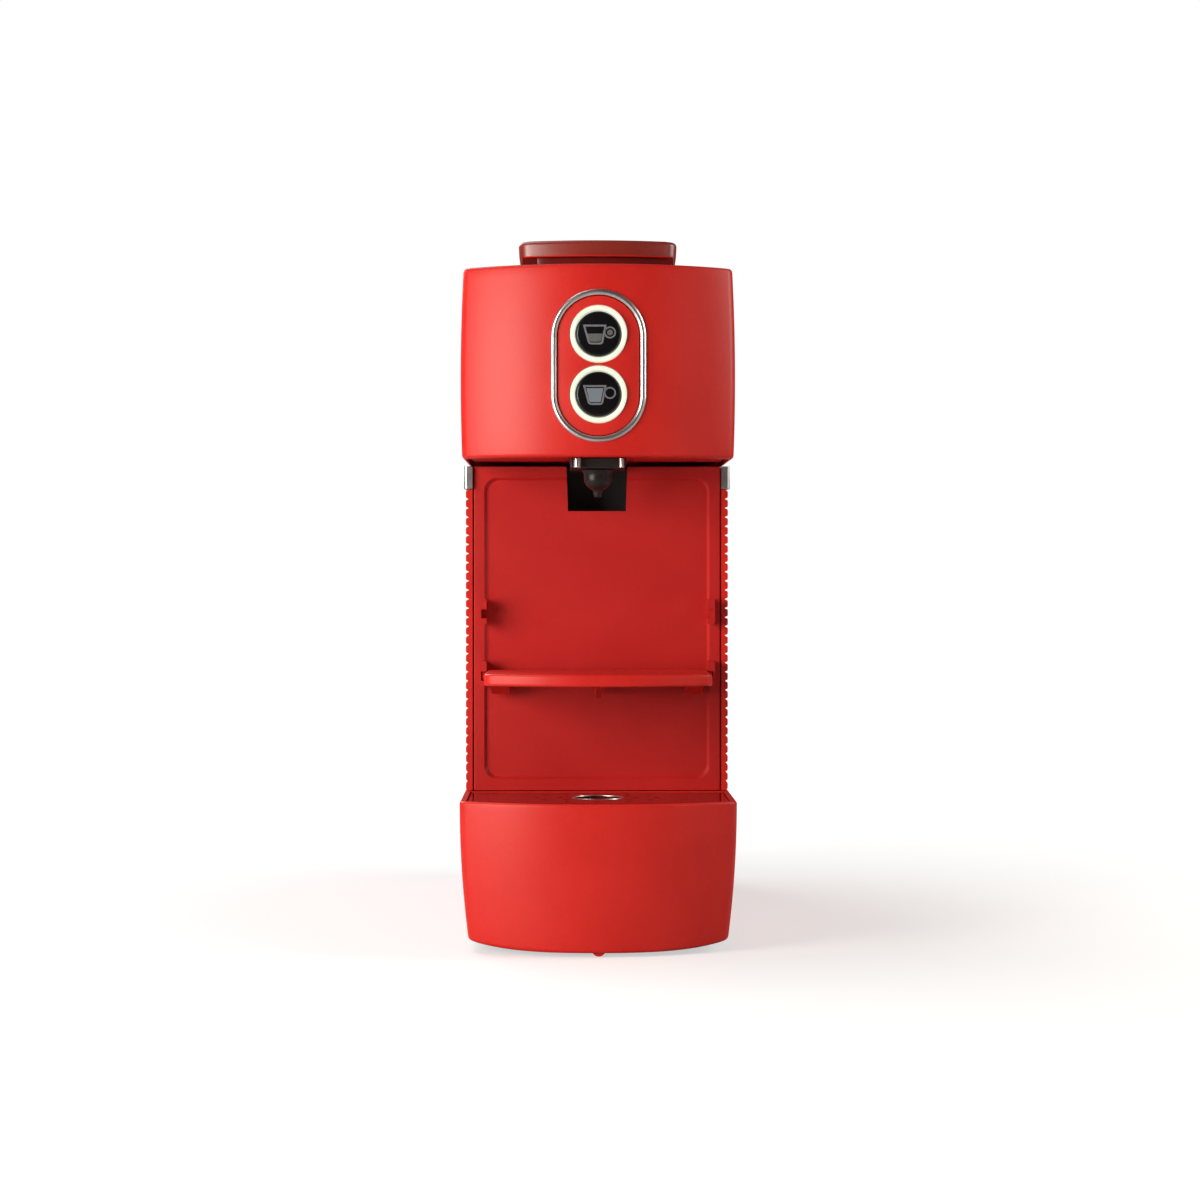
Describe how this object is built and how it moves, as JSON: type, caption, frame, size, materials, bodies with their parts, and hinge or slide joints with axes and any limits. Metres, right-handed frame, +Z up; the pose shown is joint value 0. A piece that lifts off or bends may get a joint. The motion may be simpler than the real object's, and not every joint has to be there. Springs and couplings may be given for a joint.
{
  "type": "pod coffee machine",
  "caption": "Slim bowed-front pod coffee machine with a lift-up brewing lever on top, an oval panel of lit cup buttons, a drop-in cup shelf, ribbed sides and a pull-out drip tray",
  "frame": {"origin": "on the table, at the middle of the machine's footprint", "axes": "+X to the right as seen by someone facing the front, -Y out of the front, +Z up"},
  "size_m": [0.1, 0.27, 0.258],
  "materials": {
    "red_satin_plastic": "satin, finely grained, moulded through in red",
    "red_gloss_plastic": "gloss, darker red",
    "black_plastic": "satin black",
    "button_black": "gloss black with grey printed symbols",
    "chrome": "polished plating",
    "steel": "brushed",
    "brass": "turned",
    "aluminium": "cast and machined",
    "light_guide": "milky light guide, lit from behind",
    "rubber": "moulded",
    "silicone": "translucent white hose and seal",
    "smoked_tank": "see-through dark red",
    "circuit_board": "green lacquer with soldered parts",
    "pump_coil": "resin over copper winding"
  },
  "bodies": {
    "machine": {"base_housing": "red_satin_plastic", "bay_panel": "red_satin_plastic", "boiler": "aluminium", "boiler_hose": "silicone", "boiler_thermostat": "steel", "button_bezel": "chrome", "button_fascia": "red_satin_plastic", "coffee_spout": "black_plastic", "control_board": "circuit_board", "filter_plate": "steel", "floor_plate": "black_plastic", "flow_meter": "black_plastic", "foot_front_left": "rubber", "foot_front_right": "rubber", "foot_rear_left": "rubber", "foot_rear_right": "rubber", "head_floor": "red_satin_plastic", "head_shell": "red_satin_plastic", "left_group_post": "chrome", "left_side_panel": "red_satin_plastic", "left_trim_band": "chrome", "lever_hinge_block": "black_plastic", "lever_hinge_pin": "steel", "lower_light_ring": "light_guide", "outlet_tube": "black_plastic", "pod_holder": "aluminium", "power_board": "circuit_board", "power_inlet": "black_plastic", "pressure_hose": "silicone", "pump_coil": "pump_coil", "pump_cradle": "rubber", "pump_cylinder": "brass", "pump_feed_hose": "silicone", "rear_bulkhead": "black_plastic", "right_group_post": "chrome", "right_side_panel": "red_satin_plastic", "right_trim_band": "chrome", "spout_body": "black_plastic", "spout_recess": "black_plastic", "suction_hose": "silicone", "switch_frame": "black_plastic", "tank_coupling": "black_plastic", "upper_light_ring": "light_guide"},
    "lever": {"brew_lever": "red_gloss_plastic", "lever_frame": "black_plastic", "lever_catch": "steel", "lever_water_pipe": "silicone", "brew_piston": "black_plastic", "piston_seal": "silicone", "shower_screen": "steel"},
    "short_button": {"short_cup_button": "button_black"},
    "long_button": {"long_cup_button": "button_black"},
    "tray": {"drip_tray": "red_satin_plastic"},
    "grid": {"drip_grid": "red_gloss_plastic"},
    "shelf": {"cup_shelf": "red_satin_plastic"},
    "tank": {"water_tank": "smoked_tank"},
    "lid": {"tank_lid": "red_satin_plastic"},
    "valve": {"tank_valve": "silicone"},
    "rocker": {"power_rocker": "black_plastic"}
  },
  "joints": [
    {"name": "lever_hinge", "type": "hinge", "parent": "machine", "child": "lever", "pos_m": [0, 0.048, 0.253], "axis": [-1, 0, 0], "range_deg": [0, 80]},
    {"name": "short_button_press", "type": "slide", "parent": "machine", "child": "short_button", "axis": [0, 1, 0], "range_m": [0, 0.0012], "stiffness_N_per_m": 400},
    {"name": "long_button_press", "type": "slide", "parent": "machine", "child": "long_button", "axis": [0, 1, 0], "range_m": [0, 0.0012], "stiffness_N_per_m": 400},
    {"name": "tray_pull", "type": "slide", "parent": "machine", "child": "tray", "axis": [0, -1, 0], "range_m": [0, 0.11]},
    {"name": "grid_lift", "type": "slide", "parent": "tray", "child": "grid", "axis": [0, 0, 1], "range_m": [0, 0.025]},
    {"name": "shelf_pull", "type": "slide", "parent": "machine", "child": "shelf", "axis": [0, -1, 0], "range_m": [0, 0.075]},
    {"name": "tank_lift", "type": "slide", "parent": "machine", "child": "tank", "axis": [0, 0, 1], "range_m": [0, 0.06]},
    {"name": "lid_lift", "type": "slide", "parent": "tank", "child": "lid", "axis": [0, 0, 1], "range_m": [0, 0.035]},
    {"name": "valve_travel", "type": "slide", "parent": "tank", "child": "valve", "axis": [0, 0, 1], "range_m": [0, 0.002], "stiffness_N_per_m": 120},
    {"name": "rocker_tilt", "type": "hinge", "parent": "machine", "child": "rocker", "pos_m": [0.02, 0.13, 0.028], "axis": [1, 0, 0], "range_deg": [0, 10]}
  ]
}
